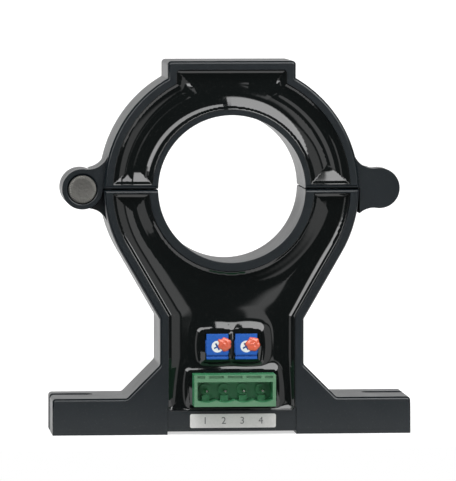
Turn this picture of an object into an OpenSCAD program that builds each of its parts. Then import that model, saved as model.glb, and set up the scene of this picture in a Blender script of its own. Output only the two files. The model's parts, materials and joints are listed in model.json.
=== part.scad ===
// Split-core Hall effect current sensor with a hinged upper half.
// X runs across the front, Y runs from the potted front face to the back, Z is up.
// The origin is on the underside of the base, at the middle of the case.

/* [Case] */
// Depth of the case from the front rim to the back
depth = 25; // [22:0.5:30]
// Thickness of the moulded walls
wall = 2.4; // [2:0.1:2.9]
// Thickness of the upper half's wall around the window
window_wall = 1.5; // [1.2:0.1:2.4]
// Thickness of the closed back of both shells
back_wall = 2.4; // [1.6:0.1:3]
// Diameter of the conductor window
bore_d = 40.2; // [36:0.2:44]
// Radial width of the ring around the window
ring_w = 14.75; // [13.5:0.25:17]
// Height of the window's centre above the base
bore_z = 67; // [62:0.5:76]
// Width of the flat on top of the ring
top_w = 35; // [29:0.2:40]
// Width of the neck between ring and base
neck_w = 39.4; // [37:0.2:44]
// Slope of the flanks between neck and ring, from horizontal
flank_angle = 60; // [56:1:64]
// Radius of the outer corners of the moulding
corner_r = 1; // [0.6:0.1:1.4]

/* [Base] */
// Width over the two mounting feet
base_w = 98; // [92:1:116]
// Height of the mounting feet
foot_h = 10; // [8:0.5:12]
// Size of the sloped gusset between foot and neck
gusset = 9; // [7:0.5:10.5]
// Width of the open screw slot in each foot
slot_w = 4.5; // [4.2:0.1:5.5]
// Length of the screw slot from the end of the foot
slot_l = 11.8; // [9:0.2:14]
// Offset of the screw slots behind the middle of the case
slot_y = 3; // [0:0.5:5]
// Height of the sill below the potted window
sill_h = 6.5; // [5:0.5:7.5]
// Set-back of the front panel below the connector
panel_step = 0.5; // [0.3:0.1:0.8]
// Height of the rebate along the panel's lower edge
rebate_h = 0.9; // [0.5:0.1:1.2]
// Depth of the rebate
rebate_d = 9; // [4:0.5:10]

/* [Parting joint] */
// Thickness of the end walls that close each half
part_wall = 1; // [0.8:0.1:1.3]
// Gap between the two halves
part_gap = 0.3; // [0.2:0.05:0.4]

/* [Hinge and lock] */
// Radius of the rounded lugs
lug_r = 5.5; // [5:0.1:6.5]
// Radius of the hollow curve between lug and ring
lug_blend_r = 5.7; // [4.6:0.1:7]
// Set-back of the lugs from the front of the case
lug_inset = 2; // [1.6:0.1:2.6]
// Length of the lugs along the hinge pin
lug_l = 15; // [13:0.5:19]
// Set-back of the lower half's web below the hinge pin
web_step = 3; // [1:0.5:4]
// Clearance around everything that swings
swing_gap = 0.3; // [0.2:0.05:0.4]
// Radius of the pin's knurled head
pin_head_r = 3.8; // [3.2:0.1:4.4]
// Length of the pin's knurled head
pin_head_l = 4; // [3:0.5:5]
// Radius of the hinge pin's shank
pin_r = 2; // [1.6:0.1:2.4]
// Height that the pin's head stands proud of its lug
pin_proud = 0.3; // [0.2:0.05:0.5]
// Thickness of plastic that closes a blind hole
blind_t = 0.8; // [0.6:0.1:1.2]
// Radius of the lock screw's thread
screw_r = 2; // [1.6:0.1:2.2]
// Radius of the lock screw's head
screw_head_r = 3.6; // [3:0.1:4.2]
// Height of the lock screw's head
screw_head_h = 1.8; // [1.4:0.1:2.2]
// Side play of the lock screw in its open notch
notch_play = 0.35; // [0.3:0.05:0.45]
// Wall of the threaded insert
insert_t = 0.9; // [0.7:0.1:1.1]

/* [Core and Hall elements] */
// Clearance between the window's wall and the core
core_clear = 0.75; // [0.5:0.05:1]
// Radial thickness of the laminated core
core_t = 5.2; // [4.2:0.1:6]
// Width of a Hall element
hall_w = 4.1; // [3.4:0.1:4.6]
// Length of a Hall element along the conductor
hall_l = 4; // [3.4:0.1:5]
// Thickness of a Hall element
hall_t = 1.5; // [1.2:0.1:1.8]
// Width of a Hall element's square leads
lead_w = 0.6; // [0.4:0.05:0.8]
// Spacing of the leads
lead_pitch = 1.27; // [1.1:0.05:1.4]

/* [Potting] */
// Depth of the potting's surface below the rim
pour_drop = 2.4; // [1.6:0.1:2.8]
// Height of the band that follows the upper core
band_h = 0.7; // [0.3:0.1:0.9]
// Half width of the band's flat top
band_top = 12.2; // [10:0.2:14]

/* [Circuit board] */
// Thickness of the board
board_t = 1.6; // [1.2:0.1:2]
// Clearance between the board and the case
board_clear = 0.8; // [0.5:0.1:1.2]
// Drop of the board's upper corners below the window's centre
board_drop = 24; // [22:0.5:25]
// Diameter of the supply capacitors
cap_d = 5; // [4:0.5:6.3]
// Length of the supply capacitors
cap_l = 7; // [5:0.5:9]

/* [Connector] */
// Spacing of the connector's contacts
pin_pitch = 5.08; // [4.8:0.01:5.6]
// Width of a square contact
contact_w = 1; // [0.8:0.1:1.2]
// Depth of the contacts' tips inside the socket
contact_sink = 1.5; // [1:0.1:2.5]
// Height of the connector's body in front of the board
header_l = 12; // [10.5:0.5:14]
// Height of the connector's body across the contacts
header_h = 8.6; // [8.4:0.1:9.8]
// Width of the connector's body beyond its outer contacts
header_end = 3.5; // [3.3:0.1:4.2]
// Wall at the ends of the socket
header_wall = 0.85; // [0.7:0.05:1]
// Wall below the socket
header_sill = 1.1; // [0.8:0.1:1.4]
// Wall above the socket
header_top_wall = 1.9; // [1.6:0.1:2.1]
// Depth of the groove in the face of the wall above the socket
rim_groove_d = 0.5; // [0.3:0.1:0.8]
// Width of the ribs that cross the groove
rim_rib_w = 1.1; // [0.9:0.1:1.4]
// Height of the cusps between the socket's scallops
scallop_h = 0.65; // [0.5:0.05:0.9]
// Depth of the socket
socket_d = 8.5; // [7.5:0.5:9.5]
// Radius of the boss around each contact
boss_r = 1.5; // [1.2:0.1:1.8]
// Height of the connector's underside above the sill
header_lift = 1.7; // [1.4:0.1:2.2]
// Sideways offset of the connector and its label
header_x = 0.3; // [0:0.1:1]

/* [Trimmers] */
// Width of a trimmer
trim_w = 6.6; // [6:0.1:7]
// Height of a trimmer
trim_h = 7; // [6.4:0.1:7.4]
// Depth of a trimmer's body
trim_l = 4.9; // [4.6:0.1:5.4]
// Spacing of the two trimmers
trim_pitch = 7.9; // [7.6:0.1:8.8]
// Gap between the connector's top and the trimmers
trim_gap = 3.7; // [3:0.1:4.6]
// Radius of a trimmer's rotor
rotor_r = 1.6; // [1.4:0.1:1.9]
// Thickness of a trimmer's rotor
rotor_t = 0.5; // [0.4:0.05:0.6]
// Width of the cross slot in the rotor
rotor_slot_w = 0.45; // [0.35:0.05:0.6]
// Depth of the groove below the rotor
groove_d = 0.6; // [0.4:0.1:0.9]
// Radius of the sealing lacquer's drop
seal_r = 1.5; // [1.2:0.1:1.7]
// Height of the sealing lacquer's drop
seal_h = 0.6; // [0.4:0.1:0.9]

/* [Label] */
// Width of the terminal label
label_w = 23.5; // [20:0.5:27]
// Height of the terminal label
label_h = 3.8; // [2.6:0.1:4]
// Radius of the label's corners
label_r = 0.5; // [0.3:0.1:0.8]
// Thickness of the terminal label
label_t = 0.15; // [0.1:0.05:0.25]

/* [Hidden] */
$fn = 96;
EPS = 0.01;
FAR = 200;
front_y = -depth / 2;
back_y = depth / 2;
bore_r = bore_d / 2;
ring_r = bore_r + ring_w;
case_h = bore_z + ring_r;
floor_y = back_y - back_wall;
pour_y = front_y + pour_drop;
sleeve_r = bore_r + wall;
inner_r = ring_r - wall;
upper_z = bore_z + part_gap / 2;
lower_z = bore_z - part_gap / 2;
upper_in_z = upper_z + part_wall;
lower_in_z = lower_z - part_wall;

// Lugs: their axes stand one swing gap outside the ring
axis_x = ring_r + lug_r + swing_gap;
lug_front_y = front_y + lug_inset;
lug_back_y = lug_front_y + lug_l;
lug_mid_y = (lug_front_y + lug_back_y) / 2;
lug_split = swing_gap / 2;
blend_x = (pow(ring_r + lug_blend_r, 2) - pow(lug_r + lug_blend_r, 2) + axis_x * axis_x) / (2 * axis_x);
blend_z = sqrt(pow(ring_r + lug_blend_r, 2) - blend_x * blend_x);
knurl_teeth = 44;
knurl_h = 0.18;
pin_end_y = lug_back_y - blind_t - swing_gap;
pin_clear = 0.05;
screw_gap = 0.1;
notch_r = screw_r + notch_play;
insert_y = lug_mid_y - lug_split;
insert_l = insert_y - lug_front_y - blind_t;
screw_tip_y = insert_y - insert_l + 0.5;
socket_r = 1.25;
socket_sink = 1.1;

// Board: the trimmers' faces stand just behind the rim, and set its place
trim_face_y = front_y + 0.3;
board_y0 = trim_face_y + trim_l;
board_y1 = board_y0 + board_t;
board_top = bore_z - board_drop;

// Core: both halves run to the parting walls, the lower one leaves room for the Hall elements
core_in_r = sleeve_r + core_clear;
core_out_r = core_in_r + core_t;
core_y0 = board_y1 + core_clear;
core_y1 = floor_y - core_clear;
core_mid_y = (core_y0 + core_y1) / 2;
core_seat = 0.1;
core_mid_r = (core_in_r + core_out_r) / 2;
hall_z = lower_in_z - core_seat - hall_t;
lead_run_r = core_out_r + (inner_r - core_out_r) / 2;
lead_z = hall_z + hall_t / 2;
lead_start = asin((lead_z - bore_z) / lead_run_r);
lead_turn = -58;
lead_spread = 3;

// Connector and trimmers on the board's front
header_y0 = board_y0 - header_l;
header_z0 = sill_h + header_lift;
header_z1 = header_z0 + header_h;
contact_z = (header_z0 + header_z1) / 2 - 0.2;
header_half = 1.5 * pin_pitch + header_end;
scallop_r = (pin_pitch * pin_pitch / 4 + scallop_h * scallop_h) / (2 * scallop_h);
scallop_z = header_z0 + header_sill + scallop_h;
socket_z1 = header_z1 - header_top_wall;
boss_h = 1;
boss_rib_h = 2.5;
trim_z = header_z1 + trim_gap + trim_h / 2;
trim_lead_pitch = 2.54;
trim_lead_drop = 2;
trim_lead_w = 0.5;
solder_l = 1.5;
hole_play = 0.2;

// Small parts: chips beside the trimmers, resistors below them, capacitors behind the board
board_half = neck_w / 2 - wall - board_clear;
chip_x = (trim_pitch / 2 + trim_w / 2 + board_half) / 2;
amplifier_w = 5;
amplifier_h = 3.9;
reference_w = 4.4;
reference_h = 2.4;
chip_t = 1.5;
chip_lead_l = 1;
chip_lead_w = 0.4;
chip_stand = 0.1;
resistor_pitch = 2.3;
resistor_w = 1.3;
resistor_h = 2;
resistor_t = 0.5;
resistor_z = header_z1 + trim_gap / 2;
cap_x = board_half - board_clear - cap_d / 2;
cap_z = (contact_z + trim_z) / 2;
panel_half = neck_w / 2 - wall + 0.3;
seal_ball_r = (seal_r * seal_r + seal_h * seal_h) / (2 * seal_h);

CONTACTS = [0, 1, 2, 3];
SIDES = [-1, 1];

// Points of an arc around c
function arc(c, r, a0, a1, n = 5) =
    [for (i = [0:n]) c + r * [cos(a0 + (a1 - a0) * i / n), sin(a0 + (a1 - a0) * i / n)]];

function unit(v) = v / norm(v);

// One corner of a polygon, rounded with radius r between its neighbours a and b
function round_corner(a, p, b, r, n = 5) =
    r <= 0 ? [p] :
    let (u = unit(a - p), v = unit(b - p))
    let (half = acos(u * v) / 2)
    let (c = p + unit(u + v) * r / sin(half))
    let (t0 = p + u * r / tan(half) - c, t1 = p + v * r / tan(half) - c)
    let (a0 = atan2(t0[1], t0[0]), turn = atan2(t1[1], t1[0]) - a0)
    arc(c, r, a0, a0 + (turn > 180 ? turn - 360 : turn < -180 ? turn + 360 : turn), n);

function rounded(points, radii) =
    let (n = len(points))
    [for (i = [0:n - 1])
        each round_corner(points[(i + n - 1) % n], points[i], points[(i + 1) % n], radii[i])];

// Where a flank, tangent to a circle of radius r, meets a vertical line at x
function flank_top(r) = [r * sin(flank_angle), bore_z - r * cos(flank_angle)];
function flank_foot(r, x) = [x, flank_top(r)[1] - (flank_top(r)[0] - x) * tan(flank_angle)];

function reversed(list) = [for (i = [len(list) - 1:-1:0]) list[i]];
function mirrored(points) = concat(points, [for (p = reversed(points)) [-p[0], p[1]]]);

// A flat shape in X and Z, from y0 to y1
module slab(y0, y1) {
    translate([0, y1, 0])
        rotate([90, 0, 0])
            linear_extrude(y1 - y0)
                children();
}

module disc(x, z, r) {
    translate([x, z])
        circle(r);
}

module rect(x0, z0, x1, z1) {
    translate([min(x0, x1), z0])
        square([abs(x1 - x0), z1 - z0]);
}

module block(x0, y0, z0, x1, y1, z1) {
    translate([x0, y0, z0])
        cube([x1 - x0, y1 - y0, z1 - z0]);
}

module above(z) {
    rect(-FAR, z, FAR, z + FAR);
}

module below(z) {
    rect(-FAR, z - FAR, FAR, z);
}

// Outline of the lower shell: feet, gussets, neck, flanks and the lower half of the ring
module lower_outline() {
    half = [
        [base_w / 2, 0],
        [base_w / 2, foot_h],
        [neck_w / 2 + gusset, foot_h],
        [neck_w / 2, foot_h + gusset],
        flank_foot(ring_r, neck_w / 2),
        flank_top(ring_r),
    ];
    radii = [0, corner_r, corner_r, corner_r, corner_r, 0];
    polygon(rounded(mirrored(half), concat(radii, reversed(radii))));
    intersection() {
        disc(0, bore_z, ring_r);
        below(lower_z);
    }
}

// The potted window of the lower shell, narrowed by inset
module lower_window(inset = 0) {
    x = neck_w / 2 - wall - inset;
    r = inner_r - inset;
    half = [[x, sill_h + inset], flank_foot(r, x), flank_top(r)];
    radii = [corner_r, corner_r, 0];
    difference() {
        union() {
            polygon(rounded(mirrored(half), concat(radii, reversed(radii))));
            intersection() {
                disc(0, bore_z, r);
                below(lower_in_z - inset);
            }
        }
        disc(0, bore_z, sleeve_r + inset);
    }
}

// Outline of the upper shell: half a ring with a flat, square-cornered top
module upper_outline(inset = 0) {
    x = top_w / 2 - inset;
    top = case_h - inset;
    intersection() {
        union() {
            disc(0, bore_z, ring_r - inset);
            polygon(rounded([[-x, bore_z], [x, bore_z], [x, top], [-x, top]], [0, 0, corner_r, corner_r]));
        }
        above(upper_z);
    }
}

module upper_window() {
    difference() {
        intersection() {
            upper_outline(wall);
            above(upper_in_z);
        }
        disc(0, bore_z, bore_r + window_wall);
    }
}

// The web that blends a lug into the ring, above (side 1) or below (side -1) its axis
module lug_web(end, side) {
    difference() {
        polygon([[0, bore_z], [end * axis_x, bore_z], [end * blend_x, bore_z + side * blend_z]]);
        disc(end * blend_x, bore_z + side * blend_z, lug_blend_r);
    }
}

module lug_disc(end, extra = 0) {
    disc(end * axis_x, bore_z, lug_r + extra);
}

module front_layer(step = 0) {
    slab(lug_front_y + step, lug_mid_y - lug_split)
        children();
}

module back_layer() {
    slab(lug_mid_y + lug_split, lug_back_y)
        children();
}

// Hinge side: the upper shell has the front knuckle, the lower shell the back one
module upper_lugs() {
    front_layer() {
        lug_disc(-1);
        intersection() {
            lug_web(-1, 1);
            above(upper_z);
        }
    }
    back_layer()
        for (end = SIDES)
            difference() {
                intersection() {
                    lug_web(end, 1);
                    above(upper_z);
                }
                lug_disc(end, swing_gap);
            }
    front_layer()
        intersection() {
            union() {
                lug_disc(1);
                lug_web(1, 1);
                lug_web(1, -1);
            }
            union() {
                above(upper_z);
                rect(ring_r + swing_gap, bore_z - FAR, FAR, bore_z + FAR);
            }
        }
}

module lower_lugs() {
    back_layer()
        for (end = SIDES) {
            lug_disc(end);
            intersection() {
                lug_web(end, -1);
                below(lower_z);
            }
        }
    front_layer(web_step)
        difference() {
            intersection() {
                lug_web(-1, -1);
                below(lower_z);
            }
            lug_disc(-1, swing_gap);
        }
}

// Screw slots, open at the ends of the feet
module foot_slots() {
    for (end = SIDES)
        translate([0, slot_y, -1])
            linear_extrude(foot_h + 2) {
                translate([end * (base_w / 2 - slot_l + slot_w / 2), 0])
                    circle(slot_w / 2);
                translate([end * (base_w / 2 - slot_l / 2 + slot_w / 4 + 0.5), 0])
                    square([slot_l - slot_w / 2 + 1, slot_w], center = true);
            }
}

module lower_housing() {
    color([0.07, 0.075, 0.08])
        difference() {
            union() {
                slab(front_y, back_y)
                    lower_outline();
                lower_lugs();
            }
            slab(front_y - 1, floor_y)
                lower_window();
            slab(front_y - 1, back_y + 1)
                disc(0, bore_z, bore_r);
            foot_slots();
            // hinge knuckle's blind bearing hole
            slab(lug_mid_y - 1, lug_back_y - blind_t)
                disc(-axis_x, bore_z, pin_r + pin_clear);
            // notch that the lock screw swings into
            slab(lug_mid_y - 1, lug_back_y + 1) {
                disc(axis_x, bore_z, notch_r);
                rect(axis_x - notch_r, bore_z, axis_x + notch_r, bore_z + 2 * lug_r);
            }
            // set-back panel below the connector, with its rebated lower edge
            block(-panel_half, front_y - 1, -1, panel_half, front_y + panel_step, sill_h + 1);
            block(-panel_half, front_y - 1, -1, panel_half, front_y + rebate_d, rebate_h);
        }
}

module upper_housing() {
    color([0.07, 0.075, 0.08])
        difference() {
            union() {
                slab(front_y, back_y)
                    upper_outline();
                upper_lugs();
            }
            slab(front_y - 1, floor_y)
                upper_window();
            slab(front_y - 1, back_y + 1)
                disc(0, bore_z, bore_r);
            slab(front_y - 1, lug_front_y + pin_head_l)
                disc(-axis_x, bore_z, pin_head_r);
            slab(front_y - 1, lug_back_y)
                disc(-axis_x, bore_z, pin_r + pin_clear);
            slab(insert_y - insert_l, lug_mid_y)
                disc(axis_x, bore_z, screw_r + insert_t);
        }
}

// Round bar with straight knurling, as a toothed outline
module knurl(r, n, h) {
    polygon([for (i = [0:2 * n - 1]) (i % 2 ? r - h : r) * [cos(180 * i / n), sin(180 * i / n)]]);
}

module hinge_pin() {
    color([0.55, 0.55, 0.52]) {
        translate([-axis_x, 0, bore_z]) {
            slab(lug_front_y, lug_front_y + pin_head_l)
                knurl(pin_head_r, knurl_teeth, knurl_h);
            slab(lug_front_y - pin_proud, lug_front_y)
                circle(pin_head_r - 2 * knurl_h);
            slab(lug_front_y + pin_head_l, pin_end_y)
                circle(pin_r);
        }
    }
}

// Cheese-head screw with a hexagon socket, put in from the back
module lock_screw() {
    color([0.6, 0.6, 0.58])
        difference() {
            union() {
                slab(lug_back_y + screw_gap, lug_back_y + screw_gap + screw_head_h)
                    disc(axis_x, bore_z, screw_head_r);
                slab(screw_tip_y, lug_back_y + screw_gap)
                    disc(axis_x, bore_z, screw_r);
            }
            slab(lug_back_y + screw_gap + screw_head_h - socket_sink, back_y + 1)
                translate([axis_x, bore_z])
                    circle(socket_r, $fn = 6);
        }
}

module lock_insert() {
    color([0.75, 0.6, 0.3])
        slab(insert_y - insert_l, insert_y)
            difference() {
                disc(axis_x, bore_z, screw_r + insert_t);
                disc(axis_x, bore_z, screw_r);
            }
}

module core_ring() {
    slab(core_y0, core_y1)
        difference() {
            intersection() {
                disc(0, bore_z, core_out_r);
                children();
            }
            disc(0, bore_z, core_in_r);
        }
}

module upper_core() {
    color([0.45, 0.45, 0.47])
        core_ring()
            above(upper_in_z + core_seat);
}

module lower_core() {
    color([0.45, 0.45, 0.47])
        core_ring()
            below(hall_z);
}

module hall_element(end) {
    color([0.12, 0.12, 0.13])
        translate([end * core_mid_r, core_mid_y, hall_z + hall_t / 2])
            cube([hall_w, hall_l, hall_t], center = true);
}

// Three leads from a Hall element: out past the core, down beside it and forward to the board.
// They turn forward side by side, at three angles.
module hall_leads(end) {
    color([0.75, 0.72, 0.65])
        for (lead = [-1:1]) {
            y = core_mid_y + lead * lead_pitch;
            turn = lead_turn + lead * lead_spread;
            slab(y - lead_w / 2, y + lead_w / 2) {
                rect(
                    end * (core_mid_r + hall_w / 2), lead_z - lead_w / 2,
                    end * (lead_run_r + lead_w), lead_z + lead_w / 2
                );
                intersection() {
                    difference() {
                        disc(0, bore_z, lead_run_r + lead_w / 2);
                        disc(0, bore_z, lead_run_r - lead_w / 2);
                    }
                    polygon([
                        [0, bore_z],
                        [end * FAR * cos(turn), bore_z + FAR * sin(turn)],
                        [end * FAR, bore_z + FAR * sin(turn)],
                        [end * FAR, bore_z + FAR * tan(lead_start)],
                    ]);
                }
            }
            slab(board_y1, y + lead_w / 2)
                translate([end * lead_run_r * cos(turn), bore_z + lead_run_r * sin(turn)])
                    rotate(end * turn)
                        square(lead_w + 0.2, center = true);
        }
}

module board_outline() {
    intersection() {
        lower_window(board_clear);
        below(board_top);
    }
}

module circuit_board() {
    color([0.1, 0.35, 0.18])
        slab(board_y0, board_y1)
            difference() {
                board_outline();
                for (i = CONTACTS)
                    disc(contact_x(i), contact_z, contact_w * 0.75 + hole_play);
                for (side = SIDES)
                    trimmer_lead_places(side)
                        circle(trim_lead_w / 2 + 1.5 * hole_play);
            }
}

function contact_x(i) = header_x + (i - 1.5) * pin_pitch;
function trim_x(side) = side * trim_pitch / 2;

// The middle lead stands above the two outer ones
module trimmer_lead_places(side) {
    for (lead = [-1:1])
        translate([trim_x(side) + lead * trim_lead_pitch, trim_z - lead * lead * trim_lead_drop])
            children();
}

// Moulded chip of width w and height h, with its leads out above and below
module chip(x, w, h, leads, pitch) {
    color([0.1, 0.1, 0.11]) {
        block(
            x - w / 2, board_y0 - chip_stand - chip_t, trim_z - h / 2,
            x + w / 2, board_y0 - chip_stand, trim_z + h / 2
        );
        for (i = [0:leads - 1]) {
            lead_x = x + (i - (leads - 1) / 2) * pitch;
            block(
                lead_x - chip_lead_w / 2, board_y0 - 3 * chip_stand, trim_z - h / 2 - chip_lead_l,
                lead_x + chip_lead_w / 2, board_y0, trim_z + h / 2 + chip_lead_l
            );
        }
    }
}

module amplifier_chip() {
    chip(-chip_x, amplifier_w, amplifier_h, 4, lead_pitch);
}

module reference_chip() {
    chip(chip_x, reference_w, reference_h, 3, 1.2 * lead_pitch);
}

module chip_resistors() {
    color([0.2, 0.2, 0.22])
        for (i = CONTACTS) {
            x = (i - 1.5) * resistor_pitch;
            block(
                x - resistor_w / 2, board_y0 - resistor_t, resistor_z - resistor_h / 2,
                x + resistor_w / 2, board_y0, resistor_z + resistor_h / 2
            );
        }
}

module supply_capacitor(end) {
    color([0.15, 0.16, 0.3])
        slab(board_y1, board_y1 + cap_l)
            disc(end * cap_x, cap_z, cap_d / 2);
}

// Shrouded four-way header: a scalloped socket, a ribbed groove in its upper rim and a boss
// around each contact
module header_body() {
    x0 = header_x - header_half;
    x1 = header_x + header_half;
    color([0.2, 0.52, 0.3])
        difference() {
            slab(header_y0, board_y0)
                rect(x0, header_z0, x1, header_z1);
            difference() {
                slab(header_y0 - 1, header_y0 + socket_d)
                    intersection() {
                        rect(x0 + header_wall, header_z0, x1 - header_wall, socket_z1);
                        union() {
                            rect(x0, scallop_z, x1, header_z1);
                            for (i = CONTACTS)
                                disc(contact_x(i), header_z0 + header_sill + scallop_r, scallop_r);
                        }
                    }
                for (i = CONTACTS) {
                    slab(header_y0 + socket_d - boss_h, header_y0 + socket_d + 1)
                        disc(contact_x(i), contact_z, boss_r);
                    slab(header_y0 + socket_d - boss_rib_h, header_y0 + socket_d + 1)
                        rect(
                            contact_x(i) - contact_w, header_z0,
                            contact_x(i) + contact_w, contact_z - boss_r
                        );
                }
            }
            slab(header_y0 - 1, header_y0 + rim_groove_d)
                difference() {
                    rect(
                        x0 + header_wall, header_z1 - header_top_wall / 2,
                        x1 - header_wall, header_z1 - header_top_wall / 8
                    );
                    for (i = CONTACTS)
                        rect(
                            contact_x(i) - rim_rib_w / 2, header_z0,
                            contact_x(i) + rim_rib_w / 2, header_z1
                        );
                }
            for (i = CONTACTS)
                slab(header_y0, board_y0 + 1)
                    translate([contact_x(i), contact_z])
                        square(contact_w, center = true);
        }
}

module contact_pin(i) {
    color([0.8, 0.78, 0.7]) {
        slab(header_y0 + contact_sink + contact_w / 2, board_y1 + solder_l)
            translate([contact_x(i), contact_z])
                square(contact_w, center = true);
        translate([contact_x(i), header_y0 + contact_sink + contact_w / 2, contact_z])
            rotate([90, 45, 0])
                cylinder(r1 = contact_w / sqrt(2), r2 = contact_w / sqrt(8), h = contact_w / 2, $fn = 4);
    }
}

// Single-turn trimmer with a stepped outline and a groove below its rotor
module trimmer_body(side) {
    color([0.1, 0.32, 0.8])
        translate([trim_x(side), 0, trim_z])
            difference() {
                union() {
                    slab(trim_face_y, board_y0)
                        square([trim_w - 0.6, trim_h], center = true);
                    slab(trim_face_y + 0.3, board_y0)
                        square([trim_w, trim_h / 2], center = true);
                }
                slab(trim_face_y - 1, trim_face_y + rotor_t)
                    circle(rotor_r);
                slab(trim_face_y - 1, trim_face_y + groove_d)
                    translate([0, -trim_h * 0.36])
                        square([trim_w + 1, rotor_slot_w], center = true);
            }
}

module trimmer_rotor(side) {
    color([0.92, 0.92, 0.9])
        translate([trim_x(side), 0, trim_z])
            difference() {
                slab(trim_face_y, trim_face_y + rotor_t)
                    circle(rotor_r);
                slab(trim_face_y - 1, trim_face_y + rotor_t + 1)
                    for (turn = [30, 120])
                        rotate(turn)
                            square([rotor_r * 1.3, rotor_slot_w], center = true);
            }
}

module trimmer_leads(side) {
    color([0.75, 0.75, 0.72])
        slab(board_y0, board_y1 + solder_l)
            trimmer_lead_places(side)
                square(trim_lead_w, center = true);
}

// Drop of lacquer that locks the rotor to the body
module trimmer_seal(side) {
    color([0.9, 0.32, 0.2])
        intersection() {
            translate([trim_x(side) + rotor_r, trim_face_y - seal_h + seal_ball_r, trim_z + 0.2])
                sphere(seal_ball_r);
            slab(trim_face_y - 2 * seal_h, trim_face_y)
                rect(-FAR, 0, FAR, FAR);
        }
}

// Everything that the lower pour closes around
module lower_fittings() {
    lower_core();
    for (end = SIDES) {
        hall_element(end);
        hall_leads(end);
        supply_capacitor(end);
    }
    slab(board_y0, board_y1)
        board_outline();
    amplifier_chip();
    reference_chip();
    chip_resistors();
    slab(header_y0, board_y0)
        rect(header_x - header_half, header_z0, header_x + header_half, header_z1);
    for (i = CONTACTS)
        slab(board_y1 - EPS, board_y1 + solder_l)
            translate([contact_x(i), contact_z])
                square(contact_w, center = true);
    for (side = SIDES) {
        translate([trim_x(side), 0, trim_z])
            slab(trim_face_y - 1, board_y0) {
                square([trim_w - 0.6, trim_h], center = true);
                square([trim_w, trim_h / 2], center = true);
            }
        slab(board_y1 - EPS, board_y1 + solder_l)
            trimmer_lead_places(side)
                square(trim_lead_w, center = true);
    }
}

module lower_potting() {
    color([0.03, 0.035, 0.04])
        difference() {
            slab(pour_y, floor_y)
                lower_window();
            lower_fittings();
        }
}

// The upper pour: a low band follows the core and squares off under the flat top
module upper_potting() {
    color([0.03, 0.035, 0.04])
        difference() {
            union() {
                slab(pour_y + band_h, floor_y)
                    upper_window();
                slab(pour_y, pour_y + band_h + EPS)
                    intersection() {
                        upper_window();
                        union() {
                            disc(0, bore_z, core_out_r);
                            rect(-band_top, bore_z, band_top, bore_z + core_out_r - 0.4);
                        }
                    }
            }
            upper_core();
        }
}

module terminal_label() {
    color([0.86, 0.86, 0.84])
        slab(front_y + panel_step - label_t, front_y + panel_step)
            translate([header_x, (rebate_h + sill_h) / 2])
                polygon(rounded(
                    [for (p = [[-1, -1], [1, -1], [1, 1], [-1, 1]]) [p[0] * label_w / 2, p[1] * label_h / 2]],
                    [label_r, label_r, label_r, label_r]
                ));
}

lower_housing();
upper_housing();
hinge_pin();
lock_screw();
lock_insert();
upper_core();
lower_core();
hall_element(-1);  // hall_element_left
hall_element(1);  // hall_element_right
hall_leads(-1);  // hall_leads_left
hall_leads(1);  // hall_leads_right
lower_potting();
upper_potting();
circuit_board();
amplifier_chip();
reference_chip();
chip_resistors();
supply_capacitor(-1);  // supply_capacitor_left
supply_capacitor(1);  // supply_capacitor_right
header_body();
contact_pin(0);  // contact_pin_1
contact_pin(1);  // contact_pin_2
contact_pin(2);  // contact_pin_3
contact_pin(3);  // contact_pin_4
trimmer_body(-1);  // zero_trimmer_body
trimmer_body(1);  // gain_trimmer_body
trimmer_rotor(-1);  // zero_trimmer_rotor
trimmer_rotor(1);  // gain_trimmer_rotor
trimmer_leads(-1);  // zero_trimmer_leads
trimmer_leads(1);  // gain_trimmer_leads
trimmer_seal(-1);  // zero_trimmer_seal
trimmer_seal(1);  // gain_trimmer_seal
terminal_label();
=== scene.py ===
import json
import math

import bmesh
import bpy
import numpy as np
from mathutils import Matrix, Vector, geometry, noise


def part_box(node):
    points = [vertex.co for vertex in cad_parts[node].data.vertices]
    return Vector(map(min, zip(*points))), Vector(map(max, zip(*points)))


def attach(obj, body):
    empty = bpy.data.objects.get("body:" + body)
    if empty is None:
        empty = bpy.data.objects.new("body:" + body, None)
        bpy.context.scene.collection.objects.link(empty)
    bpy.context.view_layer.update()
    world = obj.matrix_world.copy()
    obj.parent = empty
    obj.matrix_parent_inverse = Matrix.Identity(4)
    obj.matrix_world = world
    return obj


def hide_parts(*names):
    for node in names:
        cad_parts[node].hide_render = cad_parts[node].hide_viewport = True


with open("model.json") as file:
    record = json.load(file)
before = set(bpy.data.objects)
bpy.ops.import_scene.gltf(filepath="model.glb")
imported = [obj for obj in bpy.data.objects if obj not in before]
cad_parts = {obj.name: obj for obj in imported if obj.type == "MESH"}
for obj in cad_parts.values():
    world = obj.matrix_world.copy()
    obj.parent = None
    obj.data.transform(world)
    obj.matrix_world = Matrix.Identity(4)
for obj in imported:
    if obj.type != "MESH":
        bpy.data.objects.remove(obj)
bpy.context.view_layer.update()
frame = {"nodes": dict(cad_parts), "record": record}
nodes = frame["nodes"]
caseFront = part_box("lower_housing")[0].y
print("frame loaded:", len(nodes), "nodes")


# Camera: where the photograph was taken from, in metres and degrees
cameraSettings = {
    "target": Vector((0.0, caseFront, 0.051)),
    "azimuth": -4.87,
    "elevation": 3.6,
    "distance": 1.462,
    "aim": Vector((-0.0011, caseFront, 0.053)),  # what the middle of the picture shows
    "lens": 402,
    "clipStart": 0.05,
}


def makeCamera(settings):
    azimuth, elevation = math.radians(settings["azimuth"]), math.radians(settings["elevation"])
    back = Vector((
        math.sin(azimuth) * math.cos(elevation),
        -math.cos(azimuth) * math.cos(elevation),
        math.sin(elevation),
    ))
    cameraData = bpy.data.cameras.new("camera")
    cameraData.lens = settings["lens"]
    cameraData.clip_start = settings["clipStart"]
    camera = bpy.data.objects.new("camera", cameraData)
    bpy.context.scene.collection.objects.link(camera)
    camera.location = settings["target"] + back * settings["distance"]
    camera.rotation_euler = (settings["aim"] - camera.location).to_track_quat("-Z", "Y").to_euler()
    bpy.context.scene.camera = camera


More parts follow.
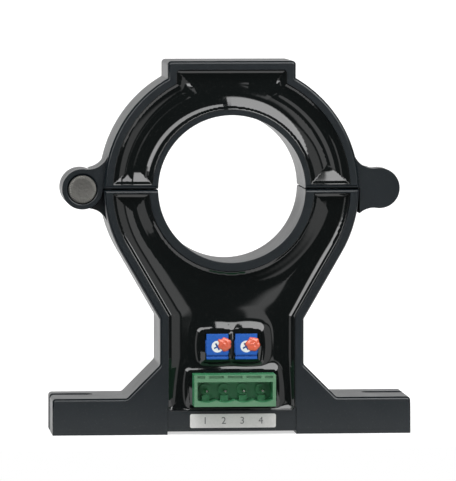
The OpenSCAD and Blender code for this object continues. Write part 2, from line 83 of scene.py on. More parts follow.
makeCamera(cameraSettings)


# Materials

def startMaterial(name):
    material = bpy.data.materials.new(name)
    material.use_nodes = True
    tree = material.node_tree
    tree.nodes.clear()
    shader = tree.nodes.new("ShaderNodeBsdfPrincipled")
    output = tree.nodes.new("ShaderNodeOutputMaterial")
    tree.links.new(shader.outputs["BSDF"], output.inputs["Surface"])
    return material, tree, shader


def setSockets(node, **values):
    for socket, value in values.items():
        node.inputs[socket.replace("_", " ")].default_value = value


def startGroup(name, inputs, outputs):
    group = bpy.data.node_groups.new(name, "ShaderNodeTree")
    for socket, kind, value in inputs:
        item = group.interface.new_socket(name=socket, in_out="INPUT", socket_type=kind)
        item.default_value = value
    for socket, kind in outputs:
        group.interface.new_socket(name=socket, in_out="OUTPUT", socket_type=kind)
    return group, group.nodes.new("NodeGroupInput"), group.nodes.new("NodeGroupOutput")


def addMath(tree, operation, first, second=None, third=None):
    node = tree.nodes.new("ShaderNodeMath")
    node.operation = operation
    for place, value in enumerate(value for value in (first, second, third) if value is not None):
        if isinstance(value, (int, float)):
            node.inputs[place].default_value = value
        else:
            tree.links.new(value, node.inputs[place])
    return node.outputs[0]


def addStep(tree, value, start, end):
    # 0 up to start, 1 from end, smooth between
    step = tree.nodes.new("ShaderNodeMapRange")
    step.interpolation_type = "SMOOTHSTEP"
    tree.links.new(value, step.inputs["Value"])
    setSockets(step, From_Min=start, From_Max=end)
    return step.outputs[0]


def addBand(tree, value, low, high, soft):
    # 1 between two limits, falling to 0 over a soft edge on each side
    rising = addStep(tree, value, low - soft, low)
    falling = addMath(tree, "SUBTRACT", 1.0, addStep(tree, value, high, high + soft))
    return addMath(tree, "MULTIPLY", rising, falling)


def addNoise(tree, coordinates, scale, detail=2.0, roughness=0.5):
    node = tree.nodes.new("ShaderNodeTexNoise")
    tree.links.new(coordinates, node.inputs["Vector"])
    if isinstance(scale, (int, float)):
        node.inputs["Scale"].default_value = scale
    else:
        tree.links.new(scale, node.inputs["Scale"])
    setSockets(node, Detail=detail, Roughness=roughness)
    return node.outputs["Fac"]


# What every surface shares; detail pairs are a noise's detail and roughness
surfaceSettings = {
    "grainDetail": (3.0, 0.6),
    "grainShare": 0.25,  # how much of the grain shows in the colour
    "mottleDetail": (3.0, 0.55),
    "smudgeScale": 140.0,
    "smudgeDetail": (4.0, 0.65),
    "speckScale": 2600.0,
    "speckDetail": (1.0, 0.4),
    "speckRange": (0.66, 0.74),
    "dustColor": (0.35, 0.34, 0.32, 1),
    "bumpDepth": 0.0001,
}


def makeSurfaceGroup(settings):
    # Fine grain, slow mottling and a little dust, the same for every moulded or cast surface
    group, given, result = startGroup(
        "surfaceVariation",
        [
            ("Color", "NodeSocketColor", (0.5, 0.5, 0.5, 1)),
            ("Grain Scale", "NodeSocketFloat", 1500.0),
            ("Mottle Scale", "NodeSocketFloat", 60.0),
            ("Mottle", "NodeSocketFloat", 0.2),
            ("Roughness", "NodeSocketFloat", 0.4),
            ("Smudge", "NodeSocketFloat", 0.1),
            ("Dust", "NodeSocketFloat", 0.0),
        ],
        [
            ("Color", "NodeSocketColor"),
            ("Roughness", "NodeSocketFloat"),
            ("Height", "NodeSocketFloat"),
        ],
    )
    place = group.nodes.new("ShaderNodeTexCoord").outputs["Object"]
    grain = addNoise(group, place, given.outputs["Grain Scale"], *settings["grainDetail"])
    mottle = addNoise(group, place, given.outputs["Mottle Scale"], *settings["mottleDetail"])
    smudge = addNoise(group, place, settings["smudgeScale"], *settings["smudgeDetail"])
    specks = addNoise(group, place, settings["speckScale"], *settings["speckDetail"])

    uneven = addMath(group, "SUBTRACT", mottle, 0.5)
    brightness = addMath(group, "MULTIPLY_ADD", uneven, given.outputs["Mottle"], 1.0)
    uneven = addMath(group, "SUBTRACT", grain, 0.5)
    brightness = addMath(group, "MULTIPLY_ADD", uneven, settings["grainShare"], brightness)
    tint = group.nodes.new("ShaderNodeVectorMath")
    tint.operation = "SCALE"
    group.links.new(given.outputs["Color"], tint.inputs[0])
    group.links.new(brightness, tint.inputs["Scale"])

    dustMask = group.nodes.new("ShaderNodeMapRange")
    group.links.new(specks, dustMask.inputs["Value"])
    setSockets(dustMask, From_Min=settings["speckRange"][0], From_Max=settings["speckRange"][1])
    dusted = group.nodes.new("ShaderNodeMix")
    dusted.data_type = "RGBA"
    dust = addMath(group, "MULTIPLY", dustMask.outputs[0], given.outputs["Dust"])
    group.links.new(dust, dusted.inputs["Factor"])
    group.links.new(tint.outputs["Vector"], dusted.inputs["A"])
    dusted.inputs["B"].default_value = settings["dustColor"]
    group.links.new(dusted.outputs["Result"], result.inputs["Color"])

    spread = addMath(group, "SUBTRACT", smudge, 0.5)
    rough = addMath(group, "MULTIPLY_ADD", spread, given.outputs["Smudge"], given.outputs["Roughness"])
    group.links.new(rough, result.inputs["Roughness"])
    group.links.new(grain, result.inputs["Height"])
    return group


surfaceGroup = makeSurfaceGroup(surfaceSettings)


def addSurface(tree, shader, settings):
    node = tree.nodes.new("ShaderNodeGroup")
    node.node_tree = surfaceGroup
    setSockets(
        node, Color=(*settings["color"], 1), Grain_Scale=settings["grain"], Mottle=settings["mottle"],
        Roughness=settings["roughness"], Smudge=settings["smudge"], Dust=settings.get("dust", 0.0),
    )
    tree.links.new(node.outputs["Color"], shader.inputs["Base Color"])
    tree.links.new(node.outputs["Roughness"], shader.inputs["Roughness"])
    return node


def addBump(tree, height, strength, distance, shader, under=None):
    bump = tree.nodes.new("ShaderNodeBump")
    setSockets(bump, Strength=strength, Distance=distance)
    tree.links.new(height, bump.inputs["Height"])
    if under is not None:
        tree.links.new(under, bump.inputs["Normal"])
    tree.links.new(bump.outputs["Normal"], shader.inputs["Normal"])
    return bump.outputs["Normal"]


polishSettings = {
    "facing": (0.12, 0.95),  # how far a round faces front or back, 0 to 1
    "soft": 0.04,
}


def addPolish(tree, roughness, polished, shader):
    # Flat faces keep the mould's texture, and the rounds between them are polished
    parts = tree.nodes.new("ShaderNodeSeparateXYZ")
    tree.links.new(tree.nodes.new("ShaderNodeTexCoord").outputs["Normal"], parts.inputs[0])
    facing = addMath(tree, "ABSOLUTE", parts.outputs["Y"])
    mix = tree.nodes.new("ShaderNodeMix")
    onRound = addBand(tree, facing, *polishSettings["facing"], polishSettings["soft"])
    tree.links.new(onRound, mix.inputs["Factor"])
    tree.links.new(roughness, mix.inputs["A"])
    mix.inputs["B"].default_value = polished
    tree.links.new(mix.outputs["Result"], shader.inputs["Roughness"])


def addPaleFront(tree, surface, settings, shader):
    # Painted sheen: the front edge of the plastic is painted paler than the rest, standing in for the light it
    # catches; depths are in millimetres, forward
    parts = tree.nodes.new("ShaderNodeSeparateXYZ")
    tree.links.new(tree.nodes.new("ShaderNodeTexCoord").outputs["Object"], parts.inputs[0])
    depth = addMath(tree, "MULTIPLY", parts.outputs["Y"], -1000.0)
    front = addStep(tree, depth, settings["paintedSheenFrom"], settings["paintedSheenFrom"] + settings["paintedSheenOver"])
    mix = tree.nodes.new("ShaderNodeMix")
    mix.data_type = "RGBA"
    tree.links.new(front, mix.inputs["Factor"])
    tree.links.new(surface.outputs["Color"], mix.inputs["A"])
    mix.inputs["B"].default_value = (*settings["paintedSheenColor"], 1)
    tree.links.new(mix.outputs["Result"], shader.inputs["Base Color"])


def makeMoulding(name, settings):
    # Moulded plastic: a satin skin with fine spark grain
    material, tree, shader = startMaterial(name)
    surface = addSurface(tree, shader, settings)
    addBump(tree, surface.outputs["Height"], settings["bump"], surfaceSettings["bumpDepth"], shader)
    if "polished" in settings:
        addPolish(tree, surface.outputs["Roughness"], settings["polished"], shader)
    # painted sheen: the front edge is painted paler to stand in for the light on it
    if "paintedSheenFrom" in settings:
        addPaleFront(tree, surface, settings, shader)
    setSockets(shader, IOR=settings.get("ior", 1.5))
    if "sheen" in settings:
        setSockets(shader, Coat_Weight=settings["sheen"], Coat_Roughness=settings["sheenRoughness"])
    if "glow" in settings:  # light that the plastic lets through
        setSockets(
            shader, Subsurface_Weight=settings["glow"], Subsurface_Scale=settings["glowDepth"],
            Subsurface_Radius=settings["glowRadius"],
        )
    return material


def makeMetal(name, settings):
    # Turned, drawn or plated metal with a fine uneven grain
    material, tree, shader = startMaterial(name)
    surface = addSurface(tree, shader, settings)
    setSockets(shader, Metallic=1.0)
    addBump(tree, surface.outputs["Height"], settings["bump"], surfaceSettings["bumpDepth"], shader)
    return material


def makePourMaterial(name, settings):
    # Cast epoxy: black, nearly mirror smooth, with slow waves, small pits and a few dust specks
    material, tree, shader = startMaterial(name)
    addSurface(tree, shader, settings)
    place = tree.nodes.new("ShaderNodeTexCoord").outputs["Object"]
    waves = addNoise(tree, place, settings["waveScale"], settings["waveDetail"])
    slow = addBump(tree, waves, settings["waves"], settings["waveDepth"], shader)
    pores = tree.nodes.new("ShaderNodeTexVoronoi")
    tree.links.new(place, pores.inputs["Vector"])
    setSockets(pores, Scale=settings["poreScale"])
    pits = tree.nodes.new("ShaderNodeMapRange")
    tree.links.new(pores.outputs["Distance"], pits.inputs["Value"])
    setSockets(pits, From_Min=settings["pitRange"][0], From_Max=settings["pitRange"][1])
    addBump(tree, pits.outputs[0], settings["bump"], settings["pitDepth"], shader, slow)
    setSockets(shader, IOR=settings["ior"])
    return material


finishes = {
    "housing_plastic": (makeMoulding, {
        "color": (0.0042, 0.0068, 0.0088), "grain": 2200, "mottle": 0.25, "roughness": 0.37, "ior": 1.43,
        "smudge": 0.12, "bump": 0.16, "dust": 0.025, "polished": 0.16,
    }),
    "potting_resin": (makePourMaterial, {
        "color": (0.0032, 0.0042, 0.0042), "grain": 900, "mottle": 0.3, "roughness": 0.05,
        "smudge": 0.05, "bump": 0.1, "dust": 0.02, "ior": 1.56,
        "waves": 0.07, "waveScale": 70, "waveDetail": 1.5, "waveDepth": 0.001,
        "poreScale": 260, "pitRange": (0.02, 0.07), "pitDepth": 0.00008,
    }),
    "knurled_steel": (makeMetal, {
        "color": (0.15, 0.148, 0.138), "grain": 1300, "mottle": 0.7, "roughness": 0.48,
        "smudge": 0.3, "bump": 0.8,
    }),
    "screw_steel": (makeMetal, {
        "color": (0.58, 0.58, 0.56), "grain": 1500, "mottle": 0.2, "roughness": 0.3,
        "smudge": 0.25, "bump": 0.2,
    }),
    "insert_brass": (makeMetal, {
        "color": (0.68, 0.47, 0.2), "grain": 1500, "mottle": 0.2, "roughness": 0.32,
        "smudge": 0.2, "bump": 0.2,
    }),
    "core_steel": (makeMetal, {
        "color": (0.3, 0.3, 0.32), "grain": 1200, "mottle": 0.3, "roughness": 0.45,
        "smudge": 0.2, "bump": 0.3,
    }),
    "element_case": (makeMoulding, {
        "color": (0.03, 0.03, 0.033), "grain": 2500, "mottle": 0.2, "roughness": 0.55,
        "smudge": 0.1, "bump": 0.2,
    }),
    "lead_frame": (makeMetal, {
        "color": (0.66, 0.65, 0.62), "grain": 1800, "mottle": 0.2, "roughness": 0.28,
        "smudge": 0.2, "bump": 0.15,
    }),
    "board_laminate": (makeMoulding, {
        "color": (0.015, 0.11, 0.045), "grain": 1400, "mottle": 0.3, "roughness": 0.3,
        "smudge": 0.1, "bump": 0.1,
    }),
    "chip_case": (makeMoulding, {
        "color": (0.022, 0.022, 0.024), "grain": 2600, "mottle": 0.2, "roughness": 0.6,
        "smudge": 0.1, "bump": 0.2,
    }),
    "resistor_ceramic": (makeMoulding, {
        "color": (0.05, 0.05, 0.055), "grain": 2600, "mottle": 0.2, "roughness": 0.35,
        "smudge": 0.1, "bump": 0.1,
    }),
    "capacitor_can": (makeMetal, {
        "color": (0.62, 0.63, 0.65), "grain": 1500, "mottle": 0.15, "roughness": 0.3,
        "smudge": 0.2, "bump": 0.15,
    }),
    "header_plastic": (makeMoulding, {
        "color": (0.055, 0.27, 0.12), "grain": 1900, "mottle": 0.35, "roughness": 0.3, "smudge": 0.15,
        "bump": 0.12, "glow": 0.1, "glowDepth": 0.001, "glowRadius": (0.6, 1.0, 0.7),
        # the front edge is painted paler, a painted sheen of light
        "paintedSheenFrom": 18.55, "paintedSheenOver": 0.3, "paintedSheenColor": (0.09, 0.2, 0.115),
    }),
    "contact_tin": (makeMetal, {
        "color": (0.72, 0.71, 0.66), "grain": 2000, "mottle": 0.15, "roughness": 0.2,
        "smudge": 0.2, "bump": 0.1,
    }),
    "trimmer_plastic": (makeMoulding, {
        "color": (0.014, 0.085, 0.36), "grain": 2200, "mottle": 0.35, "roughness": 0.28, "ior": 1.36,
        "smudge": 0.12, "bump": 0.15,
    }),
    "rotor_plastic": (makeMoulding, {
        "color": (0.6, 0.62, 0.62), "grain": 2400, "mottle": 0.15, "roughness": 0.45,
        "smudge": 0.1, "bump": 0.15,
    }),
    "lead_tin": (makeMetal, {
        "color": (0.66, 0.65, 0.62), "grain": 1800, "mottle": 0.2, "roughness": 0.3,
        "smudge": 0.2, "bump": 0.15,
    }),
    "seal_lacquer": (makeMoulding, {
        "color": (0.6, 0.1, 0.05), "grain": 900, "mottle": 0.9, "roughness": 0.22, "smudge": 0.15,
        "bump": 0.5, "sheen": 0.5, "sheenRoughness": 0.12,
    }),
    "label_film": (makeMoulding, {
        "color": (0.6, 0.59, 0.58), "grain": 1600, "mottle": 0.12, "roughness": 0.42,
        "smudge": 0.12, "bump": 0.08,
    }),
}
materials = {slot: make(slot, settings) for slot, (make, settings) in finishes.items()}
for part in frame["record"]["subparts"]:
    for place in nodes[part["node"]].material_slots:
        place.material = materials[part["material_slot"]]
print("materials made:", len(materials))


# Rounded edges: the shells are remade with wide outer and fine inner rounds, in metres and degrees
shellSettings = {
    "lower_housing": {"body": "base_half", "pour": "lower_potting", "byRun": True},
    "upper_housing": {"body": "upper_half", "pour": "upper_potting", "byRun": False},
    "outerRound": 0.00085,
    "lugRound": 0.001,
    "innerRound": 0.0002,
    "segments": 5,
    "innerSegments": 2,
    "sharpAngle": 32,
    "flatAngle": 0.2,
    "weld": 1e-6,
    "faceMargin": 1e-5,
    "lugReach": 0.012,  # how far a lug's edges lie above or below its axis
    "lugMargin": 0.0028,  # from the pour's side to where the lug's own edges begin
    "sleeveMargin": 0.0035,  # this and the next four: what the wide rounds keep clear of
    "pourMargin": 0.0008,
    "panelMargin": 0.0012,
    "panelTop": 0.008,
    "floorMargin": 0.0002,
}
# Other pieces: the width of the round in metres, and its segments
edgeSettings = {
    "header_body": (0.0001, 2),
    "zero_trimmer_body": (0.00012, 2),
    "gain_trimmer_body": (0.00012, 2),
    "zero_trimmer_rotor": (0.00006, 2),
    "gain_trimmer_rotor": (0.00006, 2),
    "lock_screw": (0.0002, 3),
}

# Where to look on the lower housing for the sleeve's lowest point and the panel's step
readSettings = {
    "nearMiddle": 0.001,
    "aboveNeck": 0.04,
    "stepDepth": (0.0002, 0.0009),  # behind the front face
    "stepTop": 0.0074,
}
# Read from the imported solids: the window's centre (X and Z), the reach of its sleeve, where the lugs begin,
# and half the width of the set-back panel
pinLow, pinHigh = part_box("hinge_pin")
boreCentre = Vector((0.0, (pinLow.z + pinHigh.z) / 2))
lowerPoints = [vertex.co for vertex in nodes["lower_housing"].data.vertices]
sleeveRadius = boreCentre.y - min(
    point.z for point in lowerPoints
    if abs(point.x) < readSettings["nearMiddle"] and point.z > readSettings["aboveNeck"]
)
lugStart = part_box("upper_potting")[1].x + shellSettings["lugMargin"]
stepStart, stepEnd = readSettings["stepDepth"]
panelHalf = max(
    abs(point.x) for point in lowerPoints
    if stepStart < point.y - caseFront < stepEnd and point.z < readSettings["stepTop"]
)
print("sleeve, lugs and panel read:", *(round(size, 5) for size in (sleeveRadius, lugStart, panelHalf)))


def windowOutline(node):
    # The pour's outline, read from its flat back: points in X and Z, in order
    mesh = bmesh.new()
    mesh.from_mesh(node.data)
    bmesh.ops.remove_doubles(mesh, verts=mesh.verts, dist=shellSettings["weld"])
    backY = max(vertex.co.y for vertex in mesh.verts) - shellSettings["weld"]
    back = {face for face in mesh.faces if all(vertex.co.y > backY for vertex in face.verts)}
    rim = {edge for face in back for edge in face.edges if len(back.intersection(edge.link_faces)) == 1}
    start = max((edge.verts[0] for edge in rim), key=lambda vertex: (vertex.co.x, vertex.co.z))
    outline, vertex, edge = [], start, None
    while True:
        outline.append(Vector((vertex.co.x, vertex.co.z)))
        edge = next(step for step in vertex.link_edges if step in rim and step != edge)
        vertex = edge.other_vert(vertex)
        if vertex == start:
            break
    mesh.free()
    return outline


def distanceTo(outline, points):
    # Each point's distance to a closed outline
    first = np.array(outline)
    run = np.roll(first, -1, axis=0) - first
    nearest = np.full(len(points), 1e9)
    for start, step in zip(first, run):
        along = np.clip(((points - start) @ step) / max(step @ step, 1e-18), 0, 1)
        nearest = np.minimum(nearest, np.linalg.norm(points - start - along[:, None] * step, axis=1))
    return nearest


def sharpEdges(mesh, angle):
    limit = math.radians(angle)
    return [
        edge for edge in mesh.edges
        if len(edge.link_faces) == 2 and edge.is_convex and edge.calc_face_angle(0) > limit
    ]


def roundEdges(mesh, edges, width, segments):
    if edges:
        bmesh.ops.bevel(
            mesh, geom=edges, offset=width, offset_type="OFFSET", segments=segments, profile=0.5,
            affect="EDGES", clamp_overlap=True, miter_outer="ARC", loop_slide=True,
        )


def chains(edges):
    # The edges in connected runs, so that one tight place doesn't hold back the others
    left, runs = set(edges), []
    for start in edges:
        if start not in left:
            continue
        left.remove(start)
        run, waiting = [], [start]
        while waiting:
            edge = waiting.pop()
            run.append(edge)
            for vertex in edge.verts:
                for step in vertex.link_edges:
                    if step in left:
                        left.remove(step)
                        waiting.append(step)
        runs.append(run)
    return runs


def outerEdges(edges, low, high, pourOutline, settings):
    # Those on the front or back outline, away from the pour, the sleeve, the panel and the floor
    middles = np.array([tuple((edge.verts[0].co + edge.verts[1].co) / 2) for edge in edges])
    fromPour = distanceTo(pourOutline, middles[:, [0, 2]])
    chosen = []
    for edge, middle, gap in zip(edges, middles, fromPour):
        first, second = edge.verts[0].co, edge.verts[1].co
        onFront = max(first.y, second.y) < low.y + settings["faceMargin"]
        onBack = min(first.y, second.y) > high.y - settings["faceMargin"]
        onSleeve = math.dist(middle[[0, 2]], boreCentre) < sleeveRadius + settings["sleeveMargin"]
        onFloor = min(first.z, second.z) < settings["floorMargin"]
        fromPanel = abs(abs(middle[0]) - panelHalf)
        onPanel = fromPanel < settings["panelMargin"] and middle[2] < settings["panelTop"]
        if not (onFront or onBack) or onSleeve or onFloor:
            continue
        if onFront and (gap < settings["pourMargin"] or onPanel):
            continue
        chosen.append(edge)
    return chosen


def makeShell(name, settings):
    source = nodes[name]
    own = settings[name]
    low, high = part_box(name)
    mesh = bmesh.new()
    mesh.from_mesh(source.data)
    bmesh.ops.remove_doubles(mesh, verts=mesh.verts, dist=settings["weld"])
    flat = math.radians(settings["flatAngle"])
    bmesh.ops.dissolve_limit(mesh, angle_limit=flat, verts=mesh.verts, edges=mesh.edges)
    pourOutline = windowOutline(nodes[own["pour"]])
    outer = outerEdges(sharpEdges(mesh, settings["sharpAngle"]), low, high, pourOutline, settings)
    for run in chains(outer):
        roundEdges(mesh, run, settings["outerRound"], settings["segments"])
    lugs = [
        edge for edge in sharpEdges(mesh, settings["sharpAngle"])
        if abs(edge.verts[0].co.x + edge.verts[1].co.x) / 2 > lugStart
        and abs((edge.verts[0].co.z + edge.verts[1].co.z) / 2 - boreCentre.y) < settings["lugReach"]
    ]
    for run in chains(lugs):
        roundEdges(mesh, run, settings["lugRound"], settings["segments"])
    rest = sharpEdges(mesh, settings["sharpAngle"])
    for run in chains(rest) if own["byRun"] else [rest]:
        roundEdges(mesh, run, settings["innerRound"], settings["innerSegments"])
    sharp = math.radians(settings["sharpAngle"])
    for edge in mesh.edges:  # what stays sharp is shaded sharp
        edge.smooth = len(edge.link_faces) == 2 and edge.calc_face_angle(0) < sharp
    print(name, "remade with rounds:", len(mesh.faces), "faces")
    for face in mesh.faces:
        face.smooth = True
    data = bpy.data.meshes.new(name + "Shell")
    mesh.to_mesh(data)
    mesh.free()
    data.materials.append(materials["housing_plastic"])
    shell = bpy.data.objects.new(name + "Shell", data)
    bpy.context.scene.collection.objects.link(shell)
    shade = shell.modifiers.new("evenShading", "WEIGHTED_NORMAL")
    shade.keep_sharp = True
    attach(shell, own["body"])
    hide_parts(name)


def softenEdges(node, width, segments):
    node.data.shade_smooth()
    weld = node.modifiers.new("weld", "WELD")
    weld.merge_threshold = shellSettings["weld"]
    flat = node.modifiers.new("flatFaces", "DECIMATE")
    flat.decimate_type = "DISSOLVE"
    flat.angle_limit = math.radians(shellSettings["flatAngle"])
    bevel = node.modifiers.new("roundedEdges", "BEVEL")
    bevel.limit_method = "ANGLE"
    bevel.angle_limit = math.radians(shellSettings["sharpAngle"])
    bevel.width = width
    bevel.segments = segments
    bevel.miter_outer = "MITER_ARC"
    bevel.use_clamp_overlap = True
    shade = node.modifiers.new("evenShading", "WEIGHTED_NORMAL")
    shade.keep_sharp = False


for name in ("lower_housing", "upper_housing"):
    makeShell(name, shellSettings)
for name, (width, segments) in edgeSettings.items():
    softenEdges(nodes[name], width, segments)
print("edges rounded")


# Potting: the surface of each pour, drawn up where it wets the walls and the fittings, in metres
resinSettings = {
    "spacing": 0.0003,  # between the points of the surface
    "gridMargin": 0.55,  # inner points keep this share of the spacing from an outline
    "bowSteps": 14,
    "blend": 4,  # higher keeps the rises beside two walls more apart
    "cap": 8,  # higher levels off more suddenly at the limit
    "shrinkFrom": -0.009,  # the neck narrows downward, and the rise with it
    "shrinkOver": 0.03,
    "shrinkLeast": 0.55,
    "slopeGap": 2e-5,
}


def boxOutline(node):
    low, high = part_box(node)
    return [Vector((low.x, low.z)), Vector((high.x, low.z)), Vector((high.x, high.z)), Vector((low.x, high.z))]


def evenly(outline, spacing):
    points = []
    for first, second in zip(outline, outline[1:] + outline[:1]):
        steps = max(1, round((second - first).length / spacing))
        points += [first.lerp(second, step / steps) for step in range(steps)]
    return points


def insideOf(outline, points):
    first = np.array(outline)
    second = np.roll(first, -1, axis=0)
    inside = np.zeros(len(points), bool)
    for (x0, z0), (x1, z1) in zip(first, second):
        crosses = (z0 > points[:, 1]) != (z1 > points[:, 1])
        if crosses.any():
            at = x0 + (points[:, 1] - z0) * (x1 - x0) / (z1 - z0 if z1 != z0 else 1e-12)
            inside ^= crosses & (points[:, 0] < at)
    return inside


def bowedBox(node, bow):
    # A fitting's outline as the resin's edge wraps round it, each side bowed outward
    corners, steps = boxOutline(node), resinSettings["bowSteps"]
    middle = sum(corners, Vector((0, 0))) / 4
    points = []
    for first, second in zip(corners, corners[1:] + corners[:1]):
        outward = ((first + second) / 2 - middle).normalized()
        points += [
            first.lerp(second, share) + outward * bow * 4 * share * (1 - share)
            for share in (step / steps for step in range(steps))
        ]
    return points


def climb(distance, wall):
    # How high the resin creeps up beside a wall: straight and steep next to it, then dying away
    past = distance - wall["steep"]
    level = wall["slope"] * wall["reach"]
    dying = level * np.exp(-np.maximum(past, 0) / wall["reach"])
    return np.where(past > 0, dying, level - past * wall["sheer"])


def fade(distance, width):
    # 1 inside an outline and 0 outside it, soft over the width
    return 1 / (1 + np.exp(4 * distance / width))


def makePour(name, settings, shared):
    step, blend, cap = shared["spacing"], shared["blend"], shared["cap"]
    windowEdge = windowOutline(nodes[settings["node"]])
    outline = evenly(windowEdge, step)
    fittings = [boxOutline(fitting) for fitting in settings["fittings"]]
    holes = [evenly(fitting, step) for fitting in fittings]
    wraps = [(bowedBox(fitting, wall["bow"]), wall) for fitting, wall in settings["fittings"].items()]

    def rise(points):
        # How far the resin stands proud of its flat level at each point
        shrink = (points[:, 1] - shared["shrinkFrom"]) / shared["shrinkOver"]
        shrink = np.clip(shrink, shared["shrinkLeast"], 1)
        climbs = climb(distanceTo(windowEdge, points) / shrink, settings["wall"]) * shrink
        total = climbs ** blend
        for wrap, wall in wraps:
            away = distanceTo(wrap, points) * np.where(insideOf(wrap, points), -1, 1)
            total += climb(away, wall) ** blend
        total = total ** (1 / blend)
        limit = settings["limit"]
        capped = limit * total / (total ** cap + limit ** cap) ** (1 / cap)
        return capped - settings["swell"] * points[:, 0] ** 2 / 2 + settings["form"](points)

    low, high = np.array(outline).min(0), np.array(outline).max(0)
    margin = step * shared["gridMargin"]
    rows = np.arange(low[1], high[1], step * math.sqrt(3) / 2)
    grid = np.array([
        (x + (row % 2) * step / 2, z)
        for row, z in enumerate(rows)
        for x in np.arange(low[0], high[0], step)
    ])
    keep = insideOf(windowEdge, grid) & (distanceTo(windowEdge, grid) > margin)
    for fitting in fittings:
        keep &= ~insideOf(fitting, grid) & (distanceTo(fitting, grid) > margin)
    flat, edges = [], []
    for loop in [outline] + holes:
        start = len(flat)
        flat += list(loop)
        edges += [(start + at, start + (at + 1) % len(loop)) for at in range(len(loop))]
    flat += [Vector(point) for point in grid[keep]]
    flatPoints, _, faces, *_ = geometry.delaunay_2d_cdt(flat, edges, [], 1, 1e-7)
    points = np.array([tuple(point) for point in flatPoints])
    centres = np.array([points[list(face)].mean(0) for face in faces])
    solid = insideOf(windowEdge, centres)
    for fitting in fittings:
        solid &= ~insideOf(fitting, centres)
    faces = [face for face, good in zip(faces, solid) if good]

    level = caseFront + settings["drop"]
    height = rise(points)
    print(name, "stands", round(1000 * height.max(), 2), "mm proud at most")
    vertices = [(x, level - up, z) for (x, z), up in zip(points, height)]
    mesh = bpy.data.meshes.new(name)
    mesh.from_pydata(vertices, [], faces)
    mesh.update()
    if mesh.polygons[0].normal.y > 0:
        mesh.flip_normals()
    mesh.shade_smooth()
    # Smooth normals from the slope of the surface itself
    gap = shared["slopeGap"]
    slopeX = (rise(points + [gap, 0]) - rise(points - [gap, 0])) / (2 * gap)
    slopeZ = (rise(points + [0, gap]) - rise(points - [0, gap])) / (2 * gap)
    normals = np.stack([-slopeX, -np.ones(len(points)), -slopeZ], axis=1)
    normals /= np.linalg.norm(normals, axis=1)[:, None]
    mesh.normals_split_custom_set_from_vertices([tuple(normal) for normal in normals])
    pour = bpy.data.objects.new(name, mesh)
    bpy.context.scene.collection.objects.link(pour)
    mesh.materials.append(materials["potting_resin"])
    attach(pour, settings["body"])
    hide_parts(settings["node"])


lowerPour = {
    "node": "lower_potting",
    "body": "base_half",
    "drop": 0.0024,  # from the case's front to the flat resin
    "limit": 0.0032,
    "wall": {"steep": 0.0009, "slope": 0.4, "sheer": 0.75, "reach": 0.0025},
    "fittings": {
        "header_body": {"bow": 0.0004, "steep": 0.0007, "slope": 0.6, "sheer": 0.85, "reach": 0.0016},
        "zero_trimmer_body": {"bow": 0.00035, "steep": 0.0011, "slope": 0.6, "sheer": 0.8, "reach": 0.0015},
        "gain_trimmer_body": {"bow": 0.00035, "steep": 0.0011, "slope": 0.6, "sheer": 0.8, "reach": 0.0015},
    },
    "swell": 1.6,  # bulge from side to side, as one over its radius
    "bandRadius": 0.0258,  # the low ring over the core
    "bandRise": 0.00025,
    "bandEdge": 0.0016,
    "dip": 0.0008,  # where the resin sank, right of the middle
    "dipCentre": (0.018, 0.046),
    "dipWidth": 0.009,
}
upperPour = {
    "node": "upper_potting",
    "body": "upper_half",
    "drop": 0.0028,
    "limit": 0.003,
    "wall": {"steep": 0.0009, "slope": 0.6, "sheer": 0.75, "reach": 0.002},
    "fittings": {},
    "swell": -1.0,
    "bandRadius": 0.0286,
    "bandTop": 0.0122,  # half the width of its squared top
    "bandDrop": 0.0004,
    "bandRise": 0.00044,
    "bandEdge": 0.002,
}


def lowerForm(points):
    # A low ring round the bore, over the core, and a shallow dip where the resin sank
    ring = np.hypot(points[:, 0] - boreCentre.x, points[:, 1] - boreCentre.y) - lowerPour["bandRadius"]
    band = lowerPour["bandRise"] * fade(ring, lowerPour["bandEdge"])
    fromDip = np.hypot(*(points - lowerPour["dipCentre"]).T) / lowerPour["dipWidth"]
    return band - lowerPour["dip"] * np.exp(-fromDip ** 2 / 2)


def upperForm(points):
    # The band over the core: concentric with the bore, squared off under the flat top
    across, up = points[:, 0] - boreCentre.x, points[:, 1] - boreCentre.y
    ring = np.hypot(across, up) - upperPour["bandRadius"]
    top = upperPour["bandRadius"] - upperPour["bandDrop"]
    square = np.maximum(np.abs(across) - upperPour["bandTop"], up - top)
    return upperPour["bandRise"] * fade(np.minimum(ring, square), upperPour["bandEdge"])


lowerPour["form"] = lowerForm
upperPour["form"] = upperForm
makePour("lowerPour", lowerPour, resinSettings)
makePour("upperPour", upperPour, resinSettings)
print("potting surfaces made")


# Label: plain numbers over the four contacts
labelSettings = {
    "numbers": 4,
    "height": 0.0019,
    "heightShare": 0.7,  # a numeral's height as a share of the font's size
    "proud": 0.00002,
    "ink": {"color": (0.1, 0.1, 0.105), "grain": 2500, "mottle": 0.5, "roughness": 0.5, "smudge": 0.1},
    "inkBump": (0.1, 0.00005),
}


